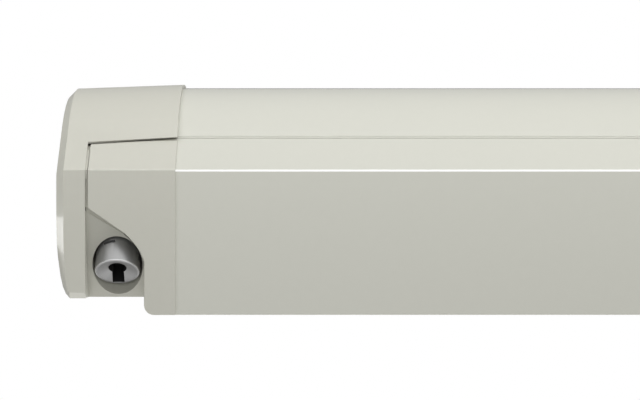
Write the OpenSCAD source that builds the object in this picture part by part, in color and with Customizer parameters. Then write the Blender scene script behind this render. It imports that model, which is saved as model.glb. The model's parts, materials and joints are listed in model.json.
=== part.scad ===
// Cassette awning with folding spring arms, rolled up and closed.
// X runs along the awning, -Y points away from the wall and Z is up.
// The origin is the middle of the cassette's back face.

/* [Cassette] */
// Length over both end caps
awning_length = 1900; // [1800:10:2600]
// Depth from the wall to the front face
cassette_depth = 90; // [86:1:110]
// Height of the closed profiles
cassette_height = 117; // [112:1:140]
// Wall thickness of the cassette profile
cassette_wall = 2.2; // [1.6:0.1:3]
// Distance from the wall to the crown of the hood
crown_depth = 21; // [15:1:26]
// How far the seam under the hood lies behind the front face
seam_setback = 17; // [14:1:20]
// How far the seam lies below the crown
seam_drop = 27.5; // [24:0.5:32]
// How far the front edge lies below the seam
edge_drop = 17.25; // [14:0.25:20]
// Gap between the hood and the lead rail
seam_gap = 1.2; // [0.8:0.1:2]
// Radius of the wall screw holes
wall_hole_radius = 4.25; // [3:0.25:6]
// Distance between the wall screw holes
wall_hole_spacing = 1400; // [800:50:1600]

/* [End caps] */
// Length of an end cap
cap_length = 60; // [56:1:80]
// How far a cap stands proud of the cassette at the seam
cap_proud = 2; // [1:0.25:3]
// Width of the outer strip beside the lead rail's cap
cap_strip = 14.9; // [12:0.1:20]
// Wall thickness of the moulded caps
cap_wall = 3; // [2:0.25:4]
// Bevel along the outer edge of a cap
cap_bevel = 4; // [2:0.5:6]
// Width of the rounded lower corner of a cap
corner_width = 6; // [3:0.5:8]
// Height of the rounded lower corner of a cap
corner_height = 34; // [20:1:36]
// How far the seam over the rail's cap falls towards the end
seam_fall = 2.5; // [0:0.25:4]

/* [Roller] */
// Outer radius of the roller tube
tube_radius = 20; // [17:0.5:21]
// Outer radius of the wound canvas
roll_radius = 25; // [23:0.5:26]
// Wall of the roller tube
tube_wall = 1.5; // [1:0.1:2.5]

/* [Lead rail] */
// Wall thickness of the lead rail
rail_wall = 2.2; // [1.6:0.1:3]
// Radius of the bead that holds the canvas
bead_radius = 2.4; // [2:0.1:3]
// Room on each side of a leg in the rail's channel
leg_clearance = 2; // [1.5:0.25:2.5]

/* [Arms] */
// Distance between the pivots of each half of an arm
arm_reach = 800; // [600:10:820]
// Downward slope of the open awning, in degrees
pitch = 10; // [8:0.5:12]
// Distance between the two halves of a folded arm
arm_spread = 24; // [22:0.5:26]
// Width of the arm next to the wall
upper_width = 20; // [16:0.5:21]
// Height of the arm next to the wall
upper_height = 28; // [24:1:29]
// Width of the front arm
fore_width = 18; // [14:0.5:19]
// Height of the front arm
fore_height = 26; // [20:1:27]
// Radius of the pivot pins
pin_radius = 4; // [3:0.25:5]

/* [Legs] */
// Width and height of a leg's outer tube
leg_size = 20; // [16:0.5:20.5]
// Length of a leg's outer tube
leg_length = 780; // [500:10:800]
// Wall of the leg tubes
leg_wall = 1.4; // [1:0.1:2]

/* [Crank eye] */
// Distance from the crank's axis to the roller's axis
worm_offset = 12.15; // [11.5:0.05:14]
// Outer radius of the crank eye's cup
cup_radius = 11.3; // [9:0.1:12]
// Length of the cup
cup_length = 22; // [18:1:26]
// Clearance around the cup in its bore
cup_clearance = 1.4; // [1:0.1:2]

/* [Fits] */
// Gap between moving faces
run_gap = 0.4; // [0.3:0.05:0.6]
// Radial gap of a pin in its bore
pin_gap = 0.06; // [0.03:0.01:0.1]

/* [Hidden] */
$fn = 48;
half_length = awning_length / 2;
x_seam = half_length - cap_length;
front = -cassette_depth;
top = cassette_height / 2;
bottom = -top;
// The hood's outer arc, tangent at the crown and ending at the seam
seam_y = front + seam_setback;
seam_z = top - seam_drop;
edge_z = seam_z - edge_drop;
hood_span = -seam_y - crown_depth;
hood_radius = (hood_span * hood_span + seam_drop * seam_drop) / (2 * seam_drop);
hood_centre = [-crown_depth, top - hood_radius];
hood_angle = asin(hood_span / hood_radius);
corner_radius = 12;
// Arm plane: the shoulder pivot, and the run of the folded arms
bracket_depth = 12.8;
shoulder_x = x_seam - 40;
shoulder_y = -(cassette_wall + bracket_depth + upper_width / 2);
shoulder_z = bottom + 26.5;
elbow_x = sqrt(arm_reach * arm_reach - arm_spread * arm_spread / 4);
floor_drop = upper_height / 2 + 1.2;
floor_front = 33;
eye_radius = 10;
wrist_eye = 6.5;
shoulder_eye_height = 18;
wrist_eye_height = 14;
tongue_height = 10;
ear = 4;
arm_tube_wall = 2;
arm_corner = 4.5;
elbow_setback = 34;
// Roller axis, low enough for the canvas to run out under the hood
roller_y = -(cassette_wall + 6.8 + roll_radius);
roller_z = seam_z - 21.5;
canvas_half = x_seam - 22;
canvas_thickness = 0.5;
tangent_y = roller_y - roll_radius * sin(pitch);
tangent_z = roller_z + roll_radius * cos(pitch);
// Lead rail
groove_y = seam_y + 5;
groove_z = seam_z - 6;
groove_radius = bead_radius + 0.5;
groove_wall = 1.5;
leg_channel = leg_size + 2 * leg_clearance;
channel_front = front + rail_wall;
channel_rear = channel_front + leg_channel;
web_foot = bottom + 26.5;
lip = 3.7;
// Legs lie one above the other in the channel
leg_y = (channel_front + channel_rear) / 2;
lower_lane = bottom + rail_wall + 0.3 + leg_size / 2;
upper_lane = lower_lane + leg_size + 2.5;
channel_top = upper_lane + leg_size / 2 + 3.5;
leg_corner = 2.4;
inner_corner = 1.6;
leg_pivot_x = x_seam - 26;
leg_cheek = 4;
leg_pin_radius = 3;
leg_inner = leg_size - 2 * leg_wall - 1;
leg_eye = leg_size / 2 - 1;
leg_start = 16;
collar_length = 26;
foot_length = 30;
// End caps and the recess of the crank eye
cap_foot = bottom + 8.2;
seam_line = seam_z - seam_setback * tan(pitch);
strip_x = half_length - cap_strip;
recess_y = channel_rear + 0.4;
rail_cap_gap = 1.3;
rail_cap_x = strip_x - rail_cap_gap;
rail_cap_proud = 0.8;
boss_gap = 1.6;
// Crank eye: its bore stands between the outer strip and the rail's cap
eye_bore = cup_radius + cup_clearance;
crank_x = strip_x - eye_bore - 2.4;
crank_y = front + 12;
crank_z = bottom + eye_bore + 11.8;
recess_x = crank_x - eye_bore - 1.7;
bend_z = crank_z + 2;
slope_x = recess_x + 10;
slope_foot = crank_z + eye_bore + 3.8;
slope_top = slope_foot + 12.5;
crank_run = [roller_y - crank_y, roller_z - crank_z];
crank_angle = atan2(crank_run.y, crank_run.x) + asin(worm_offset / norm(crank_run));
boss_tilt = 20;
cup_proud = 4;
shaft_radius = 5;

cream = "#d3d2c6";
silver = "#b9bbbd";
plastic_grey = "#6d6f70";
canvas_grey = "#8d9499";
rubber_black = "#222222";

// Sections are drawn as (Y, Z) and run along X.
module along_x(x0, x1) {
    translate([x0, 0, 0]) rotate([90, 0, 90]) linear_extrude(x1 - x0) children();
}

// Outlines are drawn as (X, Z) and run along Y.
module along_y(y0, y1) {
    translate([0, y1, 0]) rotate([90, 0, 0]) linear_extrude(y1 - y0) children();
}

// Outlines given as (X, Z) points at the front face, swept the way the lead rail travels.
module along_travel(points, back, ahead) {
    translate([0, front, 0]) rotate([pitch, 0, 0]) translate([0, back, 0]) rotate([90, 0, 0])
        linear_extrude(back + ahead) polygon([for (p = points) [p.x, p.y * cos(pitch)]]);
}

// The folded left arm's own frame: X to the middle, -Y outwards, origin at the shoulder pivot.
module arm_frame() {
    translate([-shoulder_x, shoulder_y, shoulder_z]) rotate([pitch, 0, 0]) children();
}

module right_hand() {
    mirror([1, 0, 0]) children();
}

module ring(outer, inner) {
    difference() {
        circle(outer);
        circle(inner);
    }
}

module box(x0, x1, y0, y1, z0, z1) {
    translate([x0, y0, z0]) cube([x1 - x0, y1 - y0, z1 - z0]);
}

module rect(x0, x1, y0, y1) {
    translate([x0, y0]) square([x1 - x0, y1 - y0]);
}

function round_rect(w, h, r) = [for (q = [0:3]) for (i = [0:4]) let (a = 90 * q + 22.5 * i,
    sx = q == 0 || q == 3 ? 1 : -1, sy = q < 2 ? 1 : -1)
    [sx * (w / 2 - r) + r * cos(a), sy * (h / 2 - r) + r * sin(a)]];
function inside(r, wall) = max(r - wall, 0.3);

// A bar with rounded edges along X, centred on y and on Z = 0
module bar(x0, x1, y, w, h, r) {
    along_x(x0, x1) translate([y, 0]) polygon(round_rect(w, h, r));
}

// The slope of the arms as directions in (Y, Z)
outward = [-cos(pitch), -sin(pitch)];
upward = [-sin(pitch), cos(pitch)];
floor_base = [shoulder_y, shoulder_z] - floor_drop * upward;
floor_rear = floor_base + outward * (floor_base.x / cos(pitch));
floor_end = floor_base + outward * floor_front;
// The lead rail's sloping upper band
band = [seam_setback, edge_drop] / norm([seam_setback, edge_drop]);
band_in = [band.y, -band.x] * rail_wall;
band_end = [seam_y, seam_z] - band * seam_gap / 2;
band_foot = edge_z + band_in.y + (rail_wall - band_in.x) * band.y / band.x;
slot_angle = atan2(tangent_z - groove_z, tangent_y - groove_y);
wall_hole_z = bottom + 36.5;
port_outer = 3.6;
port_inner = 1.7;
port_inset = 3;
screw_head = 3.2;
screw_sink = 2;
crown_port = [-crown_depth - 9, top - 11];
ports = [[-cassette_wall - port_inset, top - 18.5], [-cassette_wall - port_inset, bottom + 50], crown_port];

// Cassette profile: back wall, rounded top, hood and sloping floor, with screw ports for the caps
module hood_band(thick) {
    sweep = hood_angle - seam_gap / 2 / hood_radius * 180 / PI;
    reach = 2 * hood_radius;
    translate(hood_centre) intersection() {
        ring(hood_radius, hood_radius - thick);
        polygon([[0, 0], [0, reach], [-reach, reach], reach * [-sin(sweep), cos(sweep)]]);
    }
}

module cassette_section() {
    difference() {
        union() {
            hood_band(cassette_wall);
            rect(-crown_depth, -corner_radius, top - cassette_wall, top);
            translate([-corner_radius, top - corner_radius]) intersection() {
                ring(corner_radius, corner_radius - cassette_wall);
                square(corner_radius);
            }
            rect(-cassette_wall, 0, floor_rear.y - cassette_wall / cos(pitch), top - corner_radius);
            polygon([floor_rear, floor_end, floor_end - upward * cassette_wall,
                [0, floor_rear.y - cassette_wall / cos(pitch)]]);
            for (p = ports) translate(p) circle(port_outer);
            rect(crown_port.x - 0.9, crown_port.x + 0.9, crown_port.y, top - cassette_wall);
            // Short laps inside the wall, so that its runs join at any height
            rect(-cassette_wall + 0.3, -0.3, top - corner_radius - 0.5, top - corner_radius + 0.5);
            for (y = [-corner_radius, -crown_depth])
                rect(y - 0.5, y + 0.5, top - cassette_wall + 0.3, top - 0.3);
        }
        for (p = ports) translate(p) circle(port_inner);
    }
}

module cassette() {
    color(cream) difference() {
        along_x(-x_seam, x_seam) cassette_section();
        for (side = [-1, 1]) translate([side * wall_hole_spacing / 2, 0, wall_hole_z])
            rotate([90, 0, 0]) cylinder(r = wall_hole_radius, h = 3 * cassette_wall, center = true);
    }
}

module hood_seal() {
    seal_radius = 1.1;
    seal_angle = hood_angle - 5;
    seat = hood_radius - cassette_wall - seal_radius - 0.1;
    color(rubber_black) along_x(-x_seam, x_seam)
        translate(hood_centre + seat * [-sin(seal_angle), cos(seal_angle)]) circle(seal_radius);
}

module wall_seal() {
    color(rubber_black) along_x(-x_seam, x_seam)
        polygon([[-0.5, top - 7], [-0.5, top + 1], [-6, top + 1], [-6, top - 1], [-3, top - 3.5]]);
}

// End caps: a convex outer form with a bevelled end, open towards the profile
function arc_points(centre, radius, a0, a1, n) =
    [for (i = [0:n]) let (a = a0 + (a1 - a0) * i / n) centre + radius * [-sin(a), cos(a)]];

function cap_outline(grow, foot) = concat([[0, foot]],
    arc_points([-corner_radius, top - corner_radius], corner_radius + grow, -90, 0, 6),
    arc_points(hood_centre, hood_radius + grow, 0, hood_angle, 24),
    [[front - grow, edge_z + grow / 2], [front - grow, foot + 3], [front + 3 - grow, foot]]);

module cap_slice(x, grow, foot) {
    along_x(x, x + 0.01) polygon([for (p = cap_outline(grow, foot)) [min(p.x, 0), p.y]]);
}

// The bevel and the front face both turn in at the lower corner
module cap_form() {
    hull() {
        cap_slice(-x_seam - 0.01, cap_proud, cap_foot);
        for (a = [0:15:90]) {
            foot = cap_foot + corner_height * (1 - sin(a));
            inset = corner_width * (1 - cos(a));
            cap_slice(-half_length + cap_bevel + inset / 2, 0, foot);
            cap_slice(-half_length + inset, -cap_bevel, foot + cap_bevel / 4);
        }
    }
}

cap_inner_x = half_length - cap_wall - 1;
cavity_y = recess_y + cap_wall;
boss_in = 0.8 * boss_gap * [1, 1];
boss_outline = concat([[-strip_x - 1, bottom - 5], [-strip_x - 1, slope_top - boss_in.y]],
    [for (p = cut_curve(6)) p - boss_in], [[-recess_x - boss_in.x, bottom - 5]]);

module crank_axis() {
    translate([-crank_x, crank_y, crank_z]) rotate([90 + crank_angle, 0, 0]) children();
}

// The boss that carries the crank eye, with its face leaning back towards the foot
module crank_boss() {
    reach = 60;
    intersection() {
        along_travel(boss_outline, reach, reach);
        translate([0, crank_y, crank_z]) rotate([boss_tilt, 0, 0])
            box(-half_length, 0, 0, reach, -reach, reach);
        box(-half_length, 0, front, recess_y + 1, cap_foot, top);
    }
}

// Room for the rail's cap, open the way the rail travels
module rail_way() {
    edge = seam_line + seam_gap / 2;
    intersection() {
        along_travel([[-strip_x, 2 * bottom], [1 - x_seam, 2 * bottom], [1 - x_seam, edge],
            [-strip_x, edge - seam_fall]], 60, 60);
        box(-half_length, 0, 2 * front, recess_y, 2 * bottom, top);
    }
}

module end_cap_body() {
    difference() {
        cap_form();
        intersection() {
            along_x(-cap_inner_x, -x_seam + 1) polygon(cap_outline(-cap_wall, cap_foot + cap_wall));
            box(-half_length, 0, cavity_y, -cap_wall, bottom, top);
        }
        rail_way();
        for (p = ports) translate([-half_length, p.x, p.y]) rotate([0, 90, 0]) {
            cylinder(r = port_inner + 0.4, h = cap_length);
            cylinder(r = screw_head + 0.4, h = screw_sink);
        }
    }
    crank_boss();
}

// The bore passes the recess's rear wall, even where the shaft stands steeper
bore_reach = max(45, (cavity_y - crank_y + (shaft_radius + 1) * sin(crank_angle)) / cos(crank_angle));

module left_end_cap() {
    color(cream) difference() {
        end_cap_body();
        crank_axis() translate([0, 0, -bore_reach]) cylinder(r = eye_bore, h = bore_reach + 55);
    }
}

module right_end_cap() {
    color(cream) right_hand() end_cap_body();
}

// Cap screws: sunk heads, and shanks in the profile's screw ports
module cap_screws() {
    for (side = [0, 1]) mirror([side, 0, 0]) for (p = ports)
        color(silver) translate([-half_length + screw_sink, p.x, p.y]) rotate([0, 90, 0]) {
            translate([0, 0, -1.8]) cylinder(r = screw_head, h = 1.8);
            cylinder(r = port_inner - 0.1, h = cap_length + 12);
        }
}

// Crank eye: a cup with a funnel mouth, a keyhole, side slots and a shaft up to the worm
module crank_eye() {
    mouth = 2.4;
    keyhole = 4.6;
    slot = 3;
    color(silver) crank_axis() difference() {
        union() {
            translate([0, 0, cup_proud - cup_length]) cylinder(r = cup_radius, h = cup_length);
            translate([0, 0, -shaft_reach]) cylinder(r = shaft_radius, h = shaft_reach - 10);
        }
        translate([0, 0, cup_proud - mouth])
            cylinder(r1 = keyhole, r2 = cup_radius - 1.2, h = mouth + 0.01);
        translate([0, 0, cup_proud - mouth - 8]) cylinder(r = keyhole, h = 12);
        box(-slot, slot, -cup_radius + 1.6, 0, cup_proud - mouth - 8, cup_proud + 1);
        for (side = [0, 1]) mirror([side, 0, 0])
            box(cup_radius - 1.6, cup_radius + 1, -2.5, 3.5, cup_proud - 11.5, cup_proud - 5);
        translate([0, 0, cup_proud - 12]) linear_extrude(1.8) difference() {
            polygon(concat([[0, 0]], [for (a = [94:8:126]) (cup_radius + 2) * [cos(a), sin(a)]]));
            circle(cup_radius - 1.4);
        }
    }
}

worm_radius = 3.6;
worm_length = 22;
worm_place = crank_run.x * cos(crank_angle) + crank_run.y * sin(crank_angle);
wheel_radius = worm_offset - worm_radius - shaft_radius / 2 - 0.4;
shaft_reach = worm_place + worm_length / 2 + 2.3;
wheel_width = 10;
spindle_radius = 3.2;

// Worm sleeve on the crank's shaft, with grooves for the wheel's teeth
module worm() {
    color(silver) crank_axis() translate([0, 0, -worm_place - worm_length / 2]) difference() {
        cylinder(r = worm_radius + shaft_radius / 2, h = worm_length);
        translate([0, 0, -1]) cylinder(r = shaft_radius + 0.02, h = worm_length + 2);
    }
}

// Worm wheel on the roller's drive plug
module worm_wheel() {
    teeth = 14;
    root = wheel_radius - 1.4;
    color(silver) along_x(-crank_x - wheel_width / 2, -crank_x + wheel_width / 2)
        translate([roller_y, roller_z]) difference() {
            union() {
                circle(root);
                for (i = [0:teeth - 1]) rotate(i * 360 / teeth)
                    polygon([[root - 0.6, -0.9], [wheel_radius, -0.4],
                        [wheel_radius, 0.4], [root - 0.6, 0.9]]);
            }
            circle(spindle_radius + 0.02);
        }
}

module roller_round(x0, x1, radius) {
    translate([x0, roller_y, roller_z]) rotate([0, 90, 0]) cylinder(r = radius, h = x1 - x0);
}

// Gearbox housing against the inside of the left cap, with pockets for the worm and its wheel
module gearbox() {
    wall_x = crank_x - wheel_width / 2 - 5;
    color(plastic_grey) difference() {
        box(-cap_inner_x, -wall_x, roller_y - 17, roller_y + 16, roller_z - 17, roller_z + 17);
        roller_round(-crank_x - wheel_width / 2 - 1, -crank_x + wheel_width / 2 + 1, wheel_radius + 1);
        roller_round(-cap_inner_x + 8, 0, spindle_radius + pin_gap);
        crank_axis() translate([0, 0, -worm_place - worm_length / 2 - 1])
            cylinder(r = worm_radius + shaft_radius / 2 + 0.8, h = worm_length + 2);
        crank_axis() cylinder(r = shaft_radius + pin_gap, h = 300, center = true);
    }
}

plug_length = 34;
tube_half = canvas_half + 4;

module roller_tube() {
    color(silver) difference() {
        roller_round(-tube_half, tube_half, tube_radius);
        roller_round(-tube_half - 1, tube_half + 1, tube_radius - tube_wall);
    }
}

module roller_plug() {
    roller_round(-tube_half, plug_length - tube_half, tube_radius - tube_wall - 0.02);
    roller_round(-tube_half - 5, -tube_half, tube_radius + 1.5);
    roller_round(-tube_half - 8, -tube_half, 8);
}

module drive_plug() {
    color(plastic_grey) {
        roller_plug();
        roller_round(-cap_inner_x + 8.5, -tube_half, spindle_radius);
    }
}

module idler_plug() {
    color(plastic_grey) right_hand() {
        roller_plug();
        roller_round(-cap_inner_x + 8.5, -tube_half, spindle_radius);
    }
}

// Plain bearing block against the inside of the right cap
module idler_bearing() {
    color(plastic_grey) right_hand() difference() {
        box(-cap_inner_x, -crank_x + 10, roller_y - 13, roller_y + 13, roller_z - 13, roller_z + 13);
        roller_round(-cap_inner_x + 8, 0, spindle_radius + pin_gap);
    }
}

// Canvas: the wound roll, and the strip that runs out to the bead in the lead rail
module canvas_roll() {
    color(canvas_grey) difference() {
        roller_round(-canvas_half, canvas_half, roll_radius);
        roller_round(-canvas_half - 1, canvas_half + 1, tube_radius + 0.02);
    }
}

module canvas_strip() {
    from_axis = [groove_y - roller_y, groove_z - roller_z];
    radius = roll_radius + run_gap + canvas_thickness / 2;
    angle = atan2(from_axis.y, from_axis.x) - acos(radius / norm(from_axis));
    start = [roller_y, roller_z] + radius * [cos(angle), sin(angle)];
    run = [groove_y, groove_z] - start;
    dir = run / norm(run);
    side = [-dir.y, dir.x] * canvas_thickness / 2;
    end = [groove_y, groove_z] - dir * (bead_radius + 0.1);
    color(canvas_grey) along_x(-canvas_half, canvas_half)
        polygon([start - side, start + side, end + side, end - side]);
}

module canvas_bead() {
    color(canvas_grey) along_x(-canvas_half, canvas_half)
        translate([groove_y, groove_z]) circle(bead_radius);
}

// Lead rail: front wall, sloping band, bead groove, and a channel for the legs
module rail_section() {
    outer = groove_radius + groove_wall;
    polygon([[front, bottom], [front, edge_z], band_end, band_end + band_in, [channel_front, band_foot],
        [channel_front, bottom + rail_wall], [front + lip, bottom + rail_wall], [front + lip, bottom]]);
    polygon([[channel_front - 0.2, channel_top], [channel_front - 0.2, channel_top + rail_wall],
        [channel_rear + rail_wall, channel_top + rail_wall], [channel_rear + rail_wall, web_foot],
        [channel_rear, web_foot], [channel_rear, channel_top]]);
    polygon([band_end + band_in / 2 - band * 4, band_end + band_in / 2 - band * 0.3,
        [groove_y - 1, groove_z + outer - 0.4], [groove_y - outer + 0.6, groove_z]]);
}

module bead_groove() {
    outer = groove_radius + groove_wall;
    translate([groove_y, groove_z]) difference() {
        circle(outer);
        circle(groove_radius);
        rotate(slot_angle) rect(0, 2 * outer, -0.9, 0.9);
    }
}

module lead_rail() {
    color(cream) union() {
        along_x(-x_seam, x_seam) rail_section();
        along_x(-x_seam, x_seam) bead_groove();
    }
}

// Rail caps: cut away below for the crank eye, along the way the rail travels
cut_turn = 5;
function cut_curve(n) = [for (i = [0:n]) let (t = i / n)
    (1 - t) * (1 - t) * [-slope_x, slope_foot] + 2 * t * (1 - t) * [-recess_x - 2, slope_foot - 7]
    + t * t * [-recess_x, bend_z]];
function rail_cap_top(g) = seam_line - seam_gap / 2 - 1.3 * g;
function rail_cap_outline(g) =
    concat([[-x_seam, rail_cap_top(g)], [-rail_cap_x + g, rail_cap_top(g) - seam_fall],
        [-rail_cap_x + g, slope_top + g]],
    [for (p = cut_curve(6)) p + [g, g]], [[-recess_x + g, bottom + cut_turn]],
    [for (i = [0:6]) let (a = 15 * i) [-recess_x + g + (cut_turn - g) * (1 - cos(a)),
        bottom + cut_turn - (cut_turn - g) * sin(a)]],
    [[-x_seam, bottom + g]]);

function rail_cap_section(g) = [[front - rail_cap_proud + g, bottom - 20],
    [front - rail_cap_proud + g, edge_z + 0.3 - g / 2], band_end + [-0.55, 0.55] + g * [0, -1.5],
    [channel_rear + g, seam_z - 0.4 - g * 1.5], [channel_rear + g, bottom - 20]];

module rail_cap_form(g) {
    intersection() {
        along_x(-half_length, -x_seam) polygon(rail_cap_section(g));
        along_travel(rail_cap_outline(g), 60, 20);
    }
}

// Room for the crank eye, which stays behind as the rail travels out
module crank_way() {
    room = cup_radius + 1.2;
    crank_axis() box(-room, room, -100, room, -60, 60);
}

module left_rail_cap() {
    key = channel_front + 0.05;
    key_foot = bottom + 56.5;
    color(cream) {
        difference() {
            rail_cap_form(0);
            translate([0.01, 0, 0]) rail_cap_form(rail_wall);
            crank_way();
        }
        box(-x_seam - 4, -x_seam + 12, key, key + 8, key_foot, edge_z - 5);
        box(-x_seam - 4, -x_seam, front, key + 8, key_foot, edge_z - 5);
    }
}

module right_rail_cap() {
    right_hand() left_rail_cap();
}

// Shoulder brackets: a plate on the back wall with two ears about the arm's eye
plate_thick = 4;
plate_rear = -cassette_wall;
ear_from = shoulder_eye_height / 2 + run_gap;

module layer(z0, z1) {
    translate([0, 0, z0]) linear_extrude(z1 - z0) children();
}

module both_layers(z0, z1) {
    layer(z0, z1) children();
    layer(-z1, -z0) children();
}

module pin_bore(x, y, radius) {
    translate([x, y, 0]) cylinder(r = radius, h = 100, center = true);
}

plate_holes = [[-16, 8], [-16, -6], [22, 8], [22, -6]];
plate_foot = floor_rear.y + 1;

module left_shoulder_bracket() {
    color(silver) difference() {
        union() {
            along_y(plate_rear - plate_thick, plate_rear)
                translate([3 - shoulder_x, (plate_foot + shoulder_z + 18) / 2])
                    polygon(round_rect(50, shoulder_z + 18 - plate_foot, 5));
            intersection() {
                arm_frame() both_layers(ear_from, ear_from + ear) {
                    circle(eye_radius + 1);
                    rect(-eye_radius - 1, eye_radius + 1, 0, 40);
                }
                box(-half_length, 0, front, plate_rear, bottom, top);
            }
        }
        arm_frame() pin_bore(0, 0, pin_radius + 0.02);
        for (h = plate_holes) translate([-shoulder_x + h.x, 0, shoulder_z + h.y]) rotate([90, 0, 0])
            cylinder(r = 2.55, h = 30);
    }
}

module right_shoulder_bracket() {
    right_hand() left_shoulder_bracket();
}

module bracket_bolts() {
    for (side = [0, 1]) mirror([side, 0, 0]) for (h = plate_holes)
        color(silver) translate([-shoulder_x + h.x, plate_rear - plate_thick, shoulder_z + h.y])
            rotate([90, 0, 0]) {
                cylinder(r = 4, h = 2.6, $fn = 6);
                translate([0, 0, -plate_thick]) cylinder(r = 2.5, h = plate_thick);
            }
}

module pin_with_ends(x, y, half, radius) {
    translate([x, y, 0]) {
        cylinder(r = radius, h = 2 * half, center = true);
        for (z = [-half - 0.8, half]) translate([0, 0, z]) cylinder(r = radius + 2, h = 0.8);
    }
}

module shoulder_pins() {
    for (side = [0, 1]) mirror([side, 0, 0])
        color(silver) arm_frame() pin_with_ends(0, 0, ear_from + ear, pin_radius);
}

// Arms, drawn folded in the left arm's own frame
fore_y = -arm_spread;
elbow_y = -arm_spread / 2;
fork_gap = tongue_height / 2 + run_gap;
plug_reach = 36;
fit = 0.02;

module arm_tube(x0, x1, y, width, height) {
    inner_w = width - 2 * arm_tube_wall;
    inner_h = height - 2 * arm_tube_wall;
    difference() {
        bar(x0, x1, y, width, height, arm_corner);
        bar(x0 - 1, x1 + 1, y, inner_w, inner_h, inside(arm_corner, arm_tube_wall));
    }
}

module arm_plug(x0, x1, y, width, height) {
    shrink = 2 * (arm_tube_wall + fit);
    bar(x0, x1, y, width - shrink, height - shrink, inside(arm_corner, arm_tube_wall));
}

module upper_shoulder() {
    half_h = shoulder_eye_height / 2;
    color(silver) arm_frame() difference() {
        union() {
            layer(-half_h, half_h) {
                circle(eye_radius);
                polygon([[0, 1 - eye_radius], [0, eye_radius - 1],
                    [8, eye_radius - 3], [21, upper_width / 2 - 1],
                    [21, 1 - upper_width / 2], [8, 3 - eye_radius]]);
            }
            layer(-2, 2) polygon([[4, 1 - eye_radius], [4, eye_radius - 1], [21, upper_width / 2],
                [21, -upper_width / 2]]);
            bar(20, 24, 0, upper_width, upper_height, arm_corner);
            arm_plug(23, 24 + plug_reach, 0, upper_width, upper_height);
        }
        pin_bore(0, 0, pin_radius + pin_gap);
    }
}

module upper_tube() {
    color(cream) arm_frame() arm_tube(24, elbow_x - elbow_setback, 0, upper_width, upper_height);
}

module upper_elbow() {
    end = elbow_x - elbow_setback;
    half_h = upper_height / 2;
    color(silver) arm_frame() difference() {
        union() {
            arm_plug(end - plug_reach, end + 1, 0, upper_width, upper_height);
            bar(end, end + 10, 0, upper_width, upper_height, arm_corner);
            both_layers(fork_gap, half_h) {
                translate([elbow_x, elbow_y]) circle(eye_radius);
                polygon([[end + 6, -upper_width / 2], [end + 6, upper_width / 2], [elbow_x - 10, 6],
                    [elbow_x + 4.6, elbow_y + 8.8], [elbow_x, elbow_y], [elbow_x - 6, elbow_y - 7.9]]);
            }
        }
        pin_bore(elbow_x, elbow_y, pin_radius + fit);
    }
}

module elbow_pin() {
    color(silver) arm_frame() pin_with_ends(elbow_x, elbow_y, upper_height / 2, pin_radius);
}

module fore_elbow() {
    end = elbow_x - elbow_setback;
    half_t = tongue_height / 2;
    color(silver) arm_frame() difference() {
        union() {
            arm_plug(end - plug_reach, end + 1, fore_y, fore_width, fore_height);
            bar(end, end + 8, fore_y, fore_width, fore_height, arm_corner);
            layer(-half_t, half_t) {
                translate([elbow_x, elbow_y]) circle(eye_radius + 0.6);
                polygon([[end + 6, fore_y + fore_width / 2], [end + 6, fore_y - fore_width / 2],
                    [elbow_x - 12, fore_y - 5],
                    [elbow_x + 5, elbow_y - 9.3], [elbow_x, elbow_y], [elbow_x - 6.6, elbow_y + 8.2]]);
            }
        }
        pin_bore(elbow_x, elbow_y, pin_radius + pin_gap);
    }
}

module fore_tube() {
    color(cream) arm_frame() arm_tube(22, elbow_x - elbow_setback, fore_y, fore_width, fore_height);
}

module fore_wrist() {
    half_h = wrist_eye_height / 2;
    color(silver) arm_frame() difference() {
        union() {
            layer(-half_h, half_h) {
                translate([0, fore_y]) {
                    circle(wrist_eye);
                    polygon([[0, 0.5 - wrist_eye], [0, wrist_eye - 0.5],
                        [8, wrist_eye - 1.5], [19, fore_width / 2 - 1],
                        [19, 1 - fore_width / 2], [8, 1.5 - wrist_eye]]);
                }
            }
            bar(18, 22, fore_y, fore_width, fore_height, arm_corner);
            arm_plug(21, 22 + plug_reach, fore_y, fore_width, fore_height);
        }
        pin_bore(0, fore_y, wrist_pin + pin_gap);
    }
}

// Wrist brackets on the lead rail's rear web
wrist_pin = 3;
wrist_ear_from = wrist_eye_height / 2 + run_gap;
wrist_plate = channel_rear + rail_wall;

module left_wrist_bracket() {
    color(silver) difference() {
        union() {
            box(-shoulder_x - 20, -shoulder_x + 14, wrist_plate, wrist_plate + 2.8,
                web_foot - 17, channel_top);
            intersection() {
                arm_frame() both_layers(wrist_ear_from, wrist_ear_from + ear) {
                    translate([0, fore_y]) circle(wrist_eye);
                    rect(-wrist_eye, wrist_eye, fore_y - 40, fore_y);
                }
                box(-half_length, 0, wrist_plate, 0, bottom, top);
            }
        }
        arm_frame() pin_bore(0, fore_y, wrist_pin + fit);
    }
}

module wrist_pins() {
    for (side = [0, 1]) mirror([side, 0, 0])
        color(silver) arm_frame() pin_with_ends(0, fore_y, wrist_ear_from + ear, wrist_pin);
}

// Legs: folded into the rail's channel, one above the other
eye_width = leg_channel - 2 * leg_cheek - 2 * run_gap;

module leg_frame(lane) {
    translate([-leg_pivot_x, leg_y, lane]) children();
}

module leg_bracket(lane) {
    head = channel_top - lane;
    color(silver) difference() {
        leg_frame(lane) {
            for (y = [-leg_channel / 2, leg_channel / 2 - leg_cheek]) translate([0, y + leg_cheek, 0])
                rotate([90, 0, 0]) linear_extrude(leg_cheek) {
                    circle(leg_eye);
                    rect(-leg_eye, leg_eye, 0, head);
                }
            box(-leg_eye, leg_eye, -leg_channel / 2, leg_channel / 2, head - 2.4, head);
        }
        leg_bore(lane, leg_pin_radius + fit);
    }
}

module leg_bore(lane, radius) {
    leg_frame(lane) rotate([90, 0, 0]) cylinder(r = radius, h = 2 * leg_channel, center = true);
}

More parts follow.
